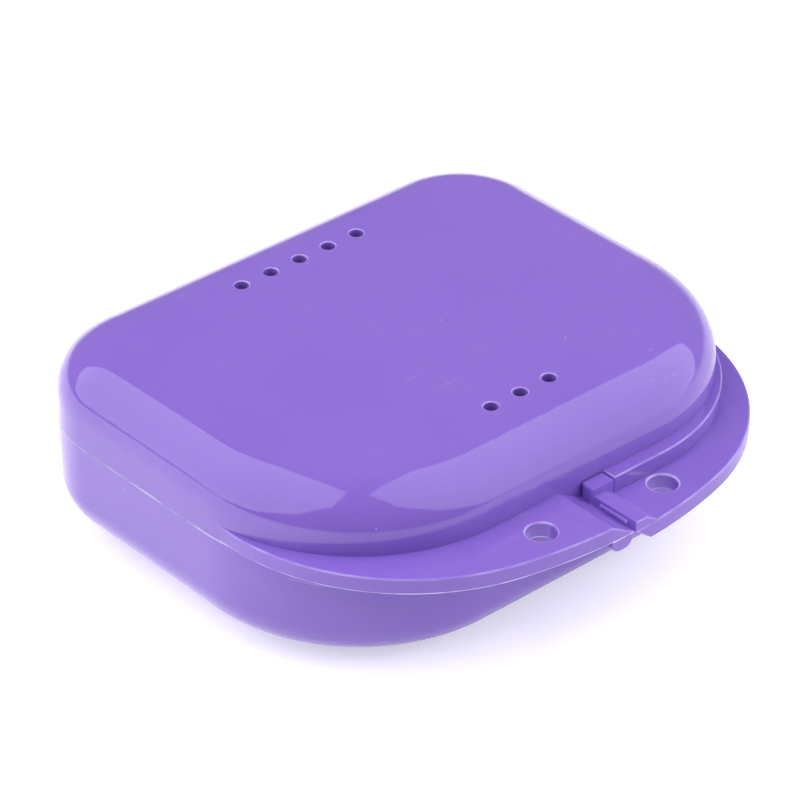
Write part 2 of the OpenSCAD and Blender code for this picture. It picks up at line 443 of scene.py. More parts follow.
# %% [markdown]
# ## Flange, rim and keying block
#
# The flange is the part a thumb pushes: a plate whose outline is one arc across the front and one
# round the corner. At its end it slopes down to a blunt toe, so its top level is a function of x.
# The slope could be a cut, but a level that changes lets the plate's rounding follow it. All
# these plates run in past the wall, and the cavity trims them later.

# %% The flange
FLANGE_FRONT_R, FLANGE_CORNER_R = 70.0, 30.0
FLANGE_INSET, FLANGE_START_Y = 0.2, -7.5
FLANGE_SIDE_X = CASE_W / 2 - FLANGE_INSET
RAMP_X, TOE_H = 3.4, 0.2
RAMP_EASE, RAMP_DIP = 0.12, 0.015  # the ramp's upper edge is eased over this much, by this much
CORNER_STEPS, FRONT_STEPS, RAMP_STEPS = 40, 24, 14
INSIDE_X, INSIDE_Y = 34.0, -20.0  # how far in the plates run
EDGE_R = 0.22


def flange(toe):
    centre_y = FLANGE_Y + FLANGE_FRONT_R
    spread = FLANGE_FRONT_R - FLANGE_CORNER_R
    turn = math.degrees(math.asin((FLANGE_SIDE_X - FLANGE_CORNER_R) / spread))
    corner = (-spread * math.sin(math.radians(turn)), centre_y - spread * math.cos(math.radians(turn)))
    ramp_start = 270 - math.degrees(math.asin((RAMP_X + EDGE_R) / FLANGE_FRONT_R))
    ramp_end = 270 + math.degrees(math.asin(toe / FLANGE_FRONT_R))
    round_corner = arc(corner, FLANGE_CORNER_R, 180, 270 - turn, CORNER_STEPS)
    front = arc((0, centre_y), FLANGE_FRONT_R, 270 - turn, ramp_start, FRONT_STEPS)[1:]
    ramp = arc((0, centre_y), FLANGE_FRONT_R, ramp_start, ramp_end, RAMP_STEPS)[1:]
    inner = [(x, INSIDE_Y) for x in ramp[::-1, 0]] + [(-RAMP_X - EDGE_R, INSIDE_Y)]
    outline = np.vstack([[(-FLANGE_SIDE_X, FLANGE_START_Y)], round_corner, front, ramp, inner,
                         [(-INSIDE_X, FLANGE_START_Y)]])

    def top(points):
        slope = (FLANGE_T - TOE_H) / (toe + RAMP_X)
        ramped = TOE_H + slope * (toe - points[:, 0])
        blend = np.clip((ramped - FLANGE_T) / RAMP_EASE, -1, 1)
        return np.minimum(ramped, FLANGE_T) - RAMP_DIP * (1 - np.abs(blend))

    piece = slab("flange", outline, 0.0, top, EDGE_R)
    split_caps(piece, len(outline), len(round_corner) + len(front), len(ramp))
    return piece


print(f"flange: {FLANGE_T} mm thick, {FRONT_Y - FLANGE_Y:.1f} mm out, toe {TOE_H} mm thick")

# %% [markdown]
# The plate's top and bottom are each one face with a hundred corners, and a bent face shades badly.
# So both are split by a line at every step of the ramp, and each strip is flat again.


# %% Splitting the flange's caps
def split_caps(piece, count, first, ramp):
    work = bmesh.new()
    work.from_mesh(piece.data)
    work.verts.ensure_lookup_table()
    for cap in [f for f in work.faces if len(f.verts) == count]:
        ids = sorted(v.index for v in cap.verts)
        for k in range(ramp):
            a, b = ids[first + k], ids[first + 2 * ramp - k]
            ends = (work.verts[a], work.verts[b])
            shared = [f for f in ends[0].link_faces if f in ends[1].link_faces]
            for face in shared:
                if len(face.verts) > 4:
                    bmesh.utils.face_split(face, ends[0], ends[1])
                    break
    work.to_mesh(piece.data)
    work.free()


print("each cap of the flange is split into", RAMP_STEPS + 1, "flat faces")

# %% [markdown]
# The other front quarter has only a narrow rim, and a block stands across the parting plane to key
# the halves together. What would stand out of the flange's slope is cut off the block.

# %% Rim and block
RIM_R, RIM_REACH, RIM_INSET, RIM_END_Y = 25.6, 2.0, 1.2, -9.5
RIM_TURN, RIM_STEPS = 88, 48  # the rim's corner in degrees
KEY_X, KEY_W, KEY_PROUD, KEY_GAP, KEY_EDGE_R = 0.4, 3.9, 0.3, 0.2, 0.4
BARE_EDGE = 0.01  # a cutter's own edges stay as good as sharp


def rim():
    corner_x = CASE_W / 2 - RIM_INSET - RIM_R
    rim_y = FRONT_Y - RIM_REACH
    start_x = KEY_X + KEY_W + KEY_GAP
    curve = arc((corner_x, rim_y + RIM_R), RIM_R, 270, 270 + RIM_TURN, RIM_STEPS)
    outline = np.vstack([[(start_x, rim_y)], curve, [(INSIDE_X, RIM_END_Y), (start_x, INSIDE_Y)]])
    return slab("rim", outline, 0.0, FLANGE_T, EDGE_R)


def keying_block(toe):
    front = FRONT_Y - RIM_REACH - KEY_PROUD
    back = FRONT_Y - KEY_GAP
    outline = [(front, -FLANGE_T), (back, -FLANGE_T), (back, 0), (FRONT_Y + WALL / 2, 0),
               (FRONT_Y + WALL / 2, FLANGE_T), (front, FLANGE_T)]
    block = slab("key", outline, -KEY_X - KEY_W, -KEY_X, KEY_EDGE_R, along_x)
    run = (RAMP_X + toe) / (FLANGE_T - TOE_H)
    over_ramp = [(toe, 0), (toe + KEY_W, 0), (toe + KEY_W, FLANGE_T + RUN_OUT),
                 (-RAMP_X - run, FLANGE_T + RUN_OUT), (toe, TOE_H)]
    recalculate(block)
    combine(block, slab("over_ramp", over_ramp, -INSIDE_Y, -FLANGE_Y, BARE_EDGE, along_y), "DIFFERENCE")
    return block


print(f"rim: {RIM_REACH} mm out; block: {KEY_W} mm wide, {2 * FLANGE_T} mm high")

# %% [markdown]
# ## The snap hinge
#
# The hinge is moulded on: on one side two ears hold a bar, on the other a C-shaped clip snaps over
# the other half's bar. It can't be seen in the photograph, so it follows what such cases have. All
# of it is drawn as seen from the side, in (y, z), and pushed along x.

# %% Hinge bar and clip
BAR_D, BAR_GAP, CLIP_WALL, CLIP_LEN = 2.4, 0.06, 0.9, 10.0
MOUTH_AT, CLIP_MOUTH = 315, 80.0  # the clip's opening looks outwards and down, in degrees
EAR_T, EAR_GAP, HINGE_X, ARM_H = 1.8, 0.3, 6.0, 3.4
EAR_STEPS, BAR_STEPS, BARREL_STEPS = 40, 48, (18, 12)  # the barrel is two arcs, below and above
BARREL_R = BAR_D / 2 + BAR_GAP + CLIP_WALL
TANGENT = math.degrees(
    math.atan2(ARM_H, BACK_Y - HINGE_Y) - math.acos(BARREL_R / math.hypot(BACK_Y - HINGE_Y, ARM_H)))
ROOT_Y = BACK_Y - WALL / 2
HINGE_EDGE = 0.15


def ear(x):
    outline = np.vstack([[(ROOT_Y, 0)], arc((HINGE_Y, 0), BARREL_R, 180, 360 + TANGENT, EAR_STEPS),
                         [(BACK_Y, ARM_H), (ROOT_Y, ARM_H)]])
    return slab("ear", outline, x, x + EAR_T, HINGE_EDGE, along_x)


def hinge_bar():
    far = HINGE_X + EAR_T + CLIP_LEN + 2 * EAR_GAP
    bar = slab("bar", arc((HINGE_Y, 0), BAR_D / 2, 0, 360, BAR_STEPS)[:-1],
               HINGE_X + EAR_T / 2, far + EAR_T / 2, HINGE_EDGE, along_x)
    return [ear(HINGE_X), ear(far), bar]


def hinge_clip():
    low_lip, high_lip = MOUTH_AT - CLIP_MOUTH / 2, MOUTH_AT + CLIP_MOUTH / 2
    outline = np.vstack([
        [(ROOT_Y, 0)], arc((HINGE_Y, 0), BARREL_R, 180, low_lip, BARREL_STEPS[0]),
        arc((HINGE_Y, 0), BAR_D / 2 + BAR_GAP, low_lip, high_lip - 360, BAR_STEPS),
        arc((HINGE_Y, 0), BARREL_R, high_lip, 360 + TANGENT, BARREL_STEPS[1]),
        [(BACK_Y, ARM_H), (ROOT_Y, ARM_H)]])
    start = -HINGE_X - EAR_T - EAR_GAP - CLIP_LEN
    return slab("clip", outline, start, start + CLIP_LEN, HINGE_EDGE, along_x)


print(f"hinge: bar {BAR_D} mm, barrel {2 * BARREL_R:.2f} mm, clip {CLIP_LEN} mm long")

# %% [markdown]
# ## Holes
#
# The eye in the flange and the vents are cut with turned cutters whose rims flare out, so each
# hole gets the soft lip that catches a ring of light, and the lip is also painted paler as flash
# with a painted highlight ring. A plain cylinder would leave a knife edge.

# %% Turned cutters
EYE = mounts["lid_eye"]
EYE_R = EYE["dims"]["r_mm"]
EYE_AT = (EYE["pos_m"][0] / MM, EYE["pos_m"][1] / MM)
LIP_R, LIP_STEPS, HOLE_STEPS = 0.25, 4, 48


def turned(name, outline, centre):
    """A closed outline in (radius, z), turned about a vertical axis through centre."""
    count = len(outline)
    points, faces = [], []
    for k in range(HOLE_STEPS):
        angle = 2 * math.pi * k / HOLE_STEPS
        for r, z in outline:
            points.append((centre[0] + r * math.cos(angle), centre[1] + r * math.sin(angle), z))
        following = (k + 1) % HOLE_STEPS
        for i in range(count - 1):
            faces.append((k * count + i, following * count + i,
                          following * count + i + 1, k * count + i + 1))
    faces.append(tuple(k * count for k in range(HOLE_STEPS))[::-1])
    faces.append(tuple(k * count + count - 1 for k in range(HOLE_STEPS)))
    piece = mesh_piece(name, points, faces)
    recalculate(piece)
    return piece


def hole_cutter(name, radius, low, high, lip, centre):
    """A cutter for a hole from low to high whose two rims are rounded outwards."""
    below = arc((radius + lip, low + lip), lip, 270, 180, LIP_STEPS)
    above = arc((radius + lip, high - lip), lip, 180, 90, LIP_STEPS)
    ends = [[(radius + lip, low - RUN_OUT)], [(radius + lip, high + RUN_OUT)]]
    return turned(name, np.vstack([ends[0], below, above, ends[1]]), centre)


print(f"eye: {2 * EYE_R:.1f} mm, at ({EYE_AT[0]:.1f}, {EYE_AT[1]:.1f})")

# %% [markdown]
# ## One half
#
# A half is its outer solid with flange, rim, block and hinge joined on, and its inside cut out
# last, which trims everything that reaches in. Both halves come from this one function, as the
# real ones have the same features.


# %% Assembling a half
def half_shell(name, height, rounding, toe, crown=0.0):
    half = shell_solid(name, height, rounding, crown)
    join(half, [flange(toe), rim(), keying_block(toe), *hinge_bar(), hinge_clip()])
    combine(half, cavity_solid("cavity", height, rounding), "DIFFERENCE")
    combine(half, hole_cutter("eye", EYE_R, 0, FLANGE_T, LIP_R, EYE_AT), "DIFFERENCE")
    print(name, "half:", len(half.data.polygons), "faces")
    return half


# %% [markdown]
# ## Vents
#
# The vents are a row of five and a row of three, all on one pitch. What repeats is a job for
# Geometry Nodes: two Mesh Lines give the places, and the cutter, drawn once, is instanced on them.
# Each row starts half its length to the left, so it is centred whatever its count.

# %% The tree of vent rows
VENT_D, VENT_PITCH, VENT_ROW_Y = 2.0, 5.0, 21.6
BACK_VENTS, FRONT_VENTS = 5, 3


def vent_tree():
    tree, given = open_tree("vent_rows", [
        ("Cutter", "Object"), ("Back count", "Int"), ("Front count", "Int"),
        ("Pitch", "Float"), ("Row distance", "Float")])
    step = add_node(tree, "ShaderNodeCombineXYZ", [(given["Pitch"], "X")])
    rows = add_node(tree, "GeometryNodeJoinGeometry")
    for count, side in (("Front count", -1.0), ("Back count", 1.0)):
        first = add_node(tree, "ShaderNodeMath", [(given[count], 0)], operation="MULTIPLY_ADD",
                         inputs={1: -0.5, 2: 0.5})
        start_x = add_node(tree, "ShaderNodeMath", [(first.outputs[0], 0), (given["Pitch"], 1)],
                           operation="MULTIPLY")
        start_y = add_node(tree, "ShaderNodeMath", [(given["Row distance"], 0)],
                           operation="MULTIPLY", inputs={1: side})
        start = add_node(tree, "ShaderNodeCombineXYZ",
                         [(start_x.outputs[0], "X"), (start_y.outputs[0], "Y")])
        row = add_node(tree, "GeometryNodeMeshLine", [
            (given[count], "Count"), (start.outputs[0], "Start Location"),
            (step.outputs[0], "Offset")], mode="OFFSET")
        tree.links.new(row.outputs[0], rows.inputs[0])
    cutter = add_node(tree, "GeometryNodeObjectInfo", [(given["Cutter"], "Object")])
    placed = add_node(tree, "GeometryNodeInstanceOnPoints", [
        (rows.outputs[0], "Points"), (cutter.outputs["Geometry"], "Instance")])
    return close_tree(tree, given, placed.outputs[0])


VENT_TREE = vent_tree()
print(VENT_TREE.name, "tree:", len(VENT_TREE.nodes), "nodes for", BACK_VENTS + FRONT_VENTS, "vents")

# %% [markdown]
# A vent's cutter reaches from the dome's inside to its top. The top has fallen a little where the
# rows are, so the upper lip lies half the crown lower than the middle of the lid.

# %% Vent cutters
VENT_LIP_R = 0.16


def vent_cutters():
    cutter = hole_cutter("vent", VENT_D / 2, LID_H - WALL, LID_H - CROWN / 2, VENT_LIP_R, (0, 0))
    rows = run_tree("vents", VENT_TREE, {
        "Cutter": cutter, "Back count": BACK_VENTS, "Front count": FRONT_VENTS,
        "Pitch": VENT_PITCH, "Row distance": VENT_ROW_Y})
    bpy.data.objects.remove(cutter)
    return rows


print(f"vents: {VENT_D} mm wide, {VENT_PITCH} mm apart, with a lip of {VENT_LIP_R} mm")

# %% [markdown]
# ## Latch and thumb tab
#
# Where the flanges end, the base carries a rib. Its inner face stands upright and has a small bead
# that the lid's toe clicks under; its outer face slopes down to the flange. Under the lid's toe
# hangs a round-cornered tab, so that a thumb nail finds an edge to lift.

# %% Latch rib, bead and tab
LATCH_X, LATCH_GAP = 0.65, 0.4
RIB_W, RIB_H, RIB_SLOPE = 1.9, 1.3, 2.0
BEAD_Z, BEAD_R, BEAD_LEN, BEAD_STEPS, BEAD_END_R = 0.55, 0.34, 5.0, 14, 0.25
TAB_DROP, TAB_W, TAB_R, TAB_LEN, TAB_STEPS = 1.8, 3.6, 1.4, 6.0, 10
TAB_ROOT = 0.12  # the tab reaches this far up into the toe
STEP_IN, LATCH_EDGE = 0.1, 0.14


def latch_rib():
    near, far = FLANGE_Y + STEP_IN, FRONT_Y - RIM_REACH
    outer = LATCH_X + RIB_W + RIB_SLOPE
    outline = [(LATCH_X, -TOE_H), (outer, -TOE_H), (outer, 0),
               (LATCH_X + RIB_W, RIB_H), (LATCH_X, RIB_H)]
    middle = (near + far) / 2
    bead = arc((LATCH_X, BEAD_Z), BEAD_R, 0, 360, BEAD_STEPS)[:-1]
    return [slab("rib", outline, -far, -near, LATCH_EDGE, along_y),
            slab("bead", bead, -middle - BEAD_LEN / 2, -middle + BEAD_LEN / 2, BEAD_END_R, along_y)]


def thumb_tab(toe):
    left, right = toe - STEP_IN - TAB_W, toe - STEP_IN
    level = TAB_R - TAB_DROP
    outline = np.vstack([arc((left + TAB_R, level), TAB_R, 180, 270, TAB_STEPS),
                         arc((right - TAB_R, level), TAB_R, 270, 360, TAB_STEPS),
                         [(right, TAB_ROOT), (left, TAB_ROOT)]])
    front = -FLANGE_Y - STEP_IN
    return slab("tab", outline, front - TAB_LEN, front, LATCH_EDGE, along_y)


print(f"latch: rib {RIB_H} mm high, {LATCH_GAP} mm from the toe; tab hangs {TAB_DROP} mm")

# %% [markdown]
# ## Flash and painted highlights
#
# A mould squeezes a thin pale skin out at its seams and round its hole pins, and rounded edges catch
# a thin line of light. Both are painted on the faces, as an attribute that the material reads and
# mixes towards a pale colour: flash with a painted highlight, most on the seam's rounding and the
# holes' lips, and a painted highlight, a little, on every other narrow slanting face, which is what a
# rounded edge is made of.

# %% How pale each face is painted, as flash and painted highlight
# how pale the seam's rounding and the holes' lips are painted: flash with a painted highlight
SEAM_FLASH_AND_HIGHLIGHT, FLANGE_FLASH_AND_HIGHLIGHT, EYE_FLASH_AND_HIGHLIGHT, VENT_FLASH_AND_HIGHLIGHT = 0.9, 1.7, 0.75, 0.65
# painted edge highlight: how pale the roundings of edges are painted, and how narrow such a face is
EDGE_HIGHLIGHT, HIGHLIGHT_WIDTH = 0.32, 0.13
UPRIGHT, LEVEL = 0.15, 0.97  # a face's slant, as the size of its normal's z
ON_PLANE, SEAM_BAND = 0.004, SEAM_R + 0.03
HOLE_WALL, LIP_REACH = 0.01, 1.1


def flash_and_highlight_share(face, holes, seam):
    centre = face.calc_center_median()
    heights = [v.co.z for v in face.verts]
    at_seam = ON_PLANE < abs(centre.z) < SEAM_BAND and max(heights) - min(heights) < SEAM_BAND
    # the seam's rounding: pale flash with a painted highlight line
    if at_seam and seam(centre.x, centre.y):
        return seam(centre.x, centre.y)
    # the holes' lips: pale flash with a painted highlight ring
    for x, y, radius, lip, share in holes:
        reach = max(math.hypot(v.co.x - x, v.co.y - y) for v in face.verts)
        if radius + HOLE_WALL < reach < radius + LIP_REACH * lip:
            return share
    longest = max(edge.calc_length() for edge in face.edges)
    narrow = face.calc_area() < HIGHLIGHT_WIDTH * longest
    # any other narrow slanting face, the rounding of an edge, gets a painted highlight
    return EDGE_HIGHLIGHT if narrow and UPRIGHT < abs(face.normal.z) < LEVEL else 0.0


# narrow slanting faces are painted with an edge highlight
print(f"faces narrower than {HIGHLIGHT_WIDTH} mm count as painted edge highlights")

# %% [markdown]
# ## Smooth shading with crisp edges
#
# A moulding has no faceted faces, so everything is shaded smooth and only real edges, past 34
# degrees, stay sharp. Face-weighted normals then keep the large flat faces flat and let the narrow
# roundings carry the whole turn, which is what gives an edge its thin clean highlight. Here a half
# also leaves the parting plane for its place in the frame, and millimetres for metres.

# %% Finishing a half
SHARP = math.radians(34)
DOUBLES, SLIVERS = 0.002, 0.0005  # points and edges closer or shorter than this are merged


def place_half(mesh, holes, seam):
    """Cleans the mesh, marks its flash and painted highlights, and moves it to its place. Returns its
    open edges.
    """
    work = bmesh.new()
    work.from_mesh(mesh)
    bmesh.ops.remove_doubles(work, verts=work.verts, dist=DOUBLES)
    bmesh.ops.dissolve_degenerate(work, edges=work.edges, dist=SLIVERS)
    open_edges = sum(1 for e in work.edges if len(e.link_faces) != 2)
    # a share per face of pale flash and painted highlight, which the material mixes into the colour
    flash_and_highlight = work.faces.layers.float.new("flash_and_highlight")
    for face in work.faces:
        face[flash_and_highlight] = flash_and_highlight_share(face, holes, seam)
    for vert in work.verts:
        vert.co = Vector((vert.co.x, vert.co.y, vert.co.z + PARTING)) * MM
    work.to_mesh(mesh)
    work.free()
    return open_edges


def finish_half(piece, body, material, holes, seam):
    mesh = piece.data
    open_edges = place_half(mesh, holes, seam)
    mesh.materials.clear()
    mesh.materials.append(material)
    mesh.polygons.foreach_set("material_index", [0] * len(mesh.polygons))
    mesh.shade_smooth()
    mesh.set_sharp_from_angle(angle=SHARP)
    weighted = piece.modifiers.new("weighted", "WEIGHTED_NORMAL")
    weighted.keep_sharp = True
    settle(piece, weighted)
    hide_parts(body)
    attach(piece, body)
    print(piece.name, len(piece.data.polygons), "faces,", open_edges, "open edges")


# %% [markdown]
# ## Polypropylene, injection moulded
#
# The real material is pigmented polypropylene. It is slightly waxy: light goes in a little and
# comes out softened, so a small share of subsurface scattering belongs to it. The lid's mould is
# polished, so it mirrors a lamp with clean borders that waver a little, as the skin does over a
# shrinking wall. The base's mould is a touch duller. Both carry the fine dust specks and hair
# scratches that any handled moulding has.

# %% Colours and real sizes
# the pale colour serves real dust specks and scratches, and the painted flash and edge highlights
VIOLET, DEEPER_VIOLET, PALE_DUST_AND_HIGHLIGHT = "#8A69CC", "#8666C9", "#E4DAFA"


def empty_tree(owner):
    """The cleared node tree of a material, a lamp or a world."""
    owner.use_nodes = True
    owner.node_tree.nodes.clear()
    return owner.node_tree


def srgb(text):
    """A linear colour from an sRGB hex value."""
    values = [int(text[i:i + 2], 16) / 255 for i in (1, 3, 5)]
    linear = [v / 12.92 if v <= 0.04045 else ((v + 0.055) / 1.055) ** 2.4 for v in values]
    return (*linear, 1.0)


def per_mm(size):
    """Scale of a pattern on Object coordinates, in metres, from its real size in millimetres."""
    return 1 / (size * MM)


def uneven(tree, where, pattern, levels=(0, 1)):
    """A drifting value. A pattern is its size in mm, its detail and the band of noise it uses."""
    size, detail, band = pattern
    noise = add_node(tree, "ShaderNodeTexNoise", [(where, "Vector")],
                     inputs={"Scale": per_mm(size), "Detail": detail})
    return add_node(tree, "ShaderNodeMapRange", [(noise.outputs["Fac"], "Value")], inputs={
        "From Min": band[0], "From Max": band[1],
        "To Min": levels[0], "To Max": levels[1]}).outputs[0]


print("linear violet:", [round(v, 3) for v in srgb(VIOLET)[:3]])

# %% [markdown]
# Specks of dust come from a Voronoi pattern, one in a cell, and only those at the skin show. Hair
# scratches come from noise that is squeezed across into threads, and a second noise keeps them to
# a few small patches, because real ones come from single knocks.

# %% Specks and scratches
SPECK_CELL, SPECK_CORE, SPECK_FADE = 7.0, 0.014, 0.024  # mm, then 0.10 and 0.17 mm as cell shares
THREADS, PATCHES = (6.5, 0.0, (0.80, 0.84)), (13, 0.0, (0.64, 0.70))
SQUEEZE, THREAD_TURN = (1, 45, 45), (0, 0.3, 0.9)


def handling_marks(tree, where):
    cells = add_node(tree, "ShaderNodeTexVoronoi", [(where, "Vector")],
                     inputs={"Scale": per_mm(SPECK_CELL), "Randomness": 1.0})
    speck = add_node(tree, "ShaderNodeMapRange", [(cells.outputs["Distance"], "Value")], inputs={
        "From Min": SPECK_CORE, "From Max": SPECK_FADE, "To Min": 1, "To Max": 0}).outputs[0]
    squeezed = add_node(tree, "ShaderNodeMapping", [(where, "Vector")],
                        inputs={"Rotation": THREAD_TURN, "Scale": SQUEEZE}).outputs[0]
    thread, patch = uneven(tree, squeezed, THREADS), uneven(tree, where, PATCHES)
    scratch = add_node(tree, "ShaderNodeMath", [(thread, 0), (patch, 1)],
                       operation="MULTIPLY").outputs[0]
    return add_node(tree, "ShaderNodeMath", [(speck, 0), (scratch, 1)],
                    operation="MAXIMUM").outputs[0]


print(f"specks {2 * SPECK_CORE * SPECK_CELL:.1f} mm wide, scratches {THREADS[0] / SQUEEZE[1]:.2f} mm")

# %% [markdown]
# The pigment drifts by a few percent, from the way the melt ran. Marks show a little paler than the
# plastic. Last comes the flash with its painted highlight, read from the faces and broken up along
# its length, since no mould squeezes flash out evenly.

# %% Colour, from pigment to flash
PIGMENT_DRIFT = (20, 2.0, (0.35, 0.65))
FLASH_AND_HIGHLIGHT_BREAKS, FLASH_AND_HIGHLIGHT_LEVELS = (3.5, 2.0, (0.36, 0.62)), (0.22, 0.75)


def moulded_colour(tree, where, marked):
    drift = uneven(tree, where, PIGMENT_DRIFT)
    pigment = add_node(tree, "ShaderNodeMix", [(drift, "Factor")], data_type="RGBA",
                       inputs={"A": srgb(VIOLET), "B": srgb(DEEPER_VIOLET)})
    handled = add_node(tree, "ShaderNodeMix", [(marked, "Factor"), (pigment.outputs["Result"], "A")],
                       data_type="RGBA", inputs={"B": srgb(PALE_DUST_AND_HIGHLIGHT)})
    # painted highlight: flash and edge highlights read from the faces and mixed towards pale
    flash_and_highlight_marks = add_node(tree, "ShaderNodeAttribute", attribute_name="flash_and_highlight").outputs["Fac"]
    broken = uneven(tree, where, FLASH_AND_HIGHLIGHT_BREAKS, FLASH_AND_HIGHLIGHT_LEVELS)
    flash_and_highlight = add_node(tree, "ShaderNodeMath", [(flash_and_highlight_marks, 0), (broken, 1)], operation="MULTIPLY",
                     use_clamp=True).outputs[0]
    colour = add_node(tree, "ShaderNodeMix", [(flash_and_highlight, "Factor"), (handled.outputs["Result"], "A")],
                      data_type="RGBA", inputs={"B": srgb(PALE_DUST_AND_HIGHLIGHT)})
    return colour.outputs["Result"]


print(f"pigment drifts over {PIGMENT_DRIFT[0]} mm, flash breaks up over {FLASH_AND_HIGHLIGHT_BREAKS[0]} mm")

# %% [markdown]
# The skin has three depths of relief, each a Bump on the one before: waves of 11 mm from uneven
# shrinkage, which make the border of a highlight waver, the mould's fine grain, and the marks. The
# grain of a polished mould is too fine to show, so it is drawn as coarse as 0.35 mm.

# %% Skin
WAVE, WAVE_DEPTH = 11, 0.035
GRAIN, GRAIN_DEPTH = 0.35, 0.0006
MARK_DEPTH = 0.002


def moulded_skin(tree, where, marks):
    below = []
    for size, depth in ((WAVE, WAVE_DEPTH), (GRAIN, GRAIN_DEPTH)):
        relief = add_node(tree, "ShaderNodeTexNoise", [(where, "Vector")],
                          inputs={"Scale": per_mm(size), "Detail": 1.0})
        layer = add_node(tree, "ShaderNodeBump", [(relief.outputs["Fac"], "Height"), *below],
                         inputs={"Strength": 1.0, "Distance": depth * MM})
        below = [(layer.outputs[0], "Normal")]
    return add_node(tree, "ShaderNodeBump", [(marks, "Height"), *below],
                    inputs={"Strength": 1.0, "Distance": MARK_DEPTH * MM}).outputs[0]


print(f"relief: waves {WAVE_DEPTH} mm deep, grain {GRAIN_DEPTH} mm, marks {MARK_DEPTH} mm")

# %% [markdown]
# The two plastics differ only in polish. Roughness starts from the mould's own and is clouded by
# handling, over about 9 mm, and a mark is up to a third rougher than the skin round it.

# %% The two plastics
CLOUDS = (9, 4.0, (0.3, 0.7))
MARK_STRENGTH = 0.3
IOR = 1.49
SCATTER_SHARE, SCATTER_DEPTH, SCATTER_REACH = 0.35, 1.5, (0.7, 0.45, 1.0)  # blue goes deepest


def polypropylene(name, roughness, haze):
    material = bpy.data.materials.new(name)
    tree = empty_tree(material)
    where = add_node(tree, "ShaderNodeTexCoord").outputs["Object"]
    marks = handling_marks(tree, where)
    marked = add_node(tree, "ShaderNodeMath", [(marks, 0)], operation="MULTIPLY",
                      inputs={1: MARK_STRENGTH}).outputs[0]
    clouded = uneven(tree, where, CLOUDS, (roughness - haze, roughness + haze))
    rough = add_node(tree, "ShaderNodeMath", [(marked, 0), (clouded, 1), (clouded, 2)],
                     operation="MULTIPLY_ADD")
    plastic = add_node(tree, "ShaderNodeBsdfPrincipled", [
        (moulded_colour(tree, where, marked), "Base Color"), (rough.outputs[0], "Roughness"),
        (moulded_skin(tree, where, marks), "Normal")], inputs={
            "IOR": IOR, "Subsurface Weight": SCATTER_SHARE, "Subsurface Scale": SCATTER_DEPTH * MM,
            "Subsurface Radius": SCATTER_REACH})
    add_node(tree, "ShaderNodeOutputMaterial", [(plastic.outputs[0], "Surface")])
    print(name, "has", len(tree.nodes), "nodes")
    return material


LID_PLASTIC = polypropylene("polypropylene_moulded_polished", roughness=0.055, haze=0.015)
BASE_PLASTIC = polypropylene("polypropylene_moulded_satin", roughness=0.20, haze=0.03)

# %% [markdown]
# ## Making the lid
#
# Both halves are drawn above a parting plane at z = 0, and the lid is lifted to the plane of the
# frame. The flash and its painted highlight are strongest on the edge of the flange.

# %% The lid
TOE_X = LATCH_X - LATCH_GAP
# the lips of the eye and the vents get flash with a painted highlight ring
LID_HOLES = [(*EYE_AT, EYE_R, LIP_R, EYE_FLASH_AND_HIGHLIGHT)] + [
    ((i - (count - 1) / 2) * VENT_PITCH, side * VENT_ROW_Y, VENT_D / 2, VENT_LIP_R, VENT_FLASH_AND_HIGHLIGHT)
    for count, side in ((BACK_VENTS, 1), (FRONT_VENTS, -1)) for i in range(count)]


# the lid's seam: flash with a painted highlight, strongest along the flange
def lid_seam(x, y):
    return FLANGE_FLASH_AND_HIGHLIGHT if y < FRONT_Y and x < 0 else SEAM_FLASH_AND_HIGHLIGHT


lid = half_shell("lid_shell", LID_H, LID_ROUND, TOE_X, crown=CROWN)
join(lid, [thumb_tab(TOE_X)])
combine(lid, vent_cutters(), "DIFFERENCE")
finish_half(lid, "lid", LID_PLASTIC, LID_HOLES, lid_seam)

# %% [markdown]
# ## Making the base
#
# The base is the same set of features turned half a turn about the front-to-back axis, which swaps
# left and right without mirroring, so its faces stay turned outwards. The rib is joined on after
# the turn. The upper edge of the base's own flange is bare, so its seam has no flash and no painted
# highlight there.

# %% The base
# the eye's lip gets flash with a painted highlight ring
BASE_HOLES = [(-EYE_AT[0], EYE_AT[1], EYE_R, LIP_R, EYE_FLASH_AND_HIGHLIGHT)]


# the base's seam: flash with a painted highlight, none on its own flange's upper edge
def base_seam(x, y):
    return SEAM_FLASH_AND_HIGHLIGHT if x < 0 or y > FLANGE_START_Y else 0.0


base = half_shell("base_shell", PARTING, BASE_ROUND, -LATCH_X)
for vertex in base.data.vertices:
    vertex.co = (-vertex.co.x, vertex.co.y, -vertex.co.z)
join(base, latch_rib())
finish_half(base, "base", BASE_PLASTIC, BASE_HOLES, base_seam)

# %% [markdown]
# ## Camera
#
# The camera stands where the photographer's did: a long lens, 34 degrees above the table, seen
# from the front left. A long lens from half a metre keeps the near corner from swelling. It is
# shifted by a few pixels, because the case doesn't lie quite in the middle of the picture.

# %% Camera
TARGET = Vector((0, 0, 14)) * MM
AZIMUTH, ELEVATION = math.radians(-41.58), math.radians(33.53)
DISTANCE = 557.44 * MM
SENSOR_W, FOCAL_PX, FRAME_PX = 36, 4230.4, 800
SHIFT_PX = (7.13, 12.68)
NEAREST, FURTHEST = 0.01, 20

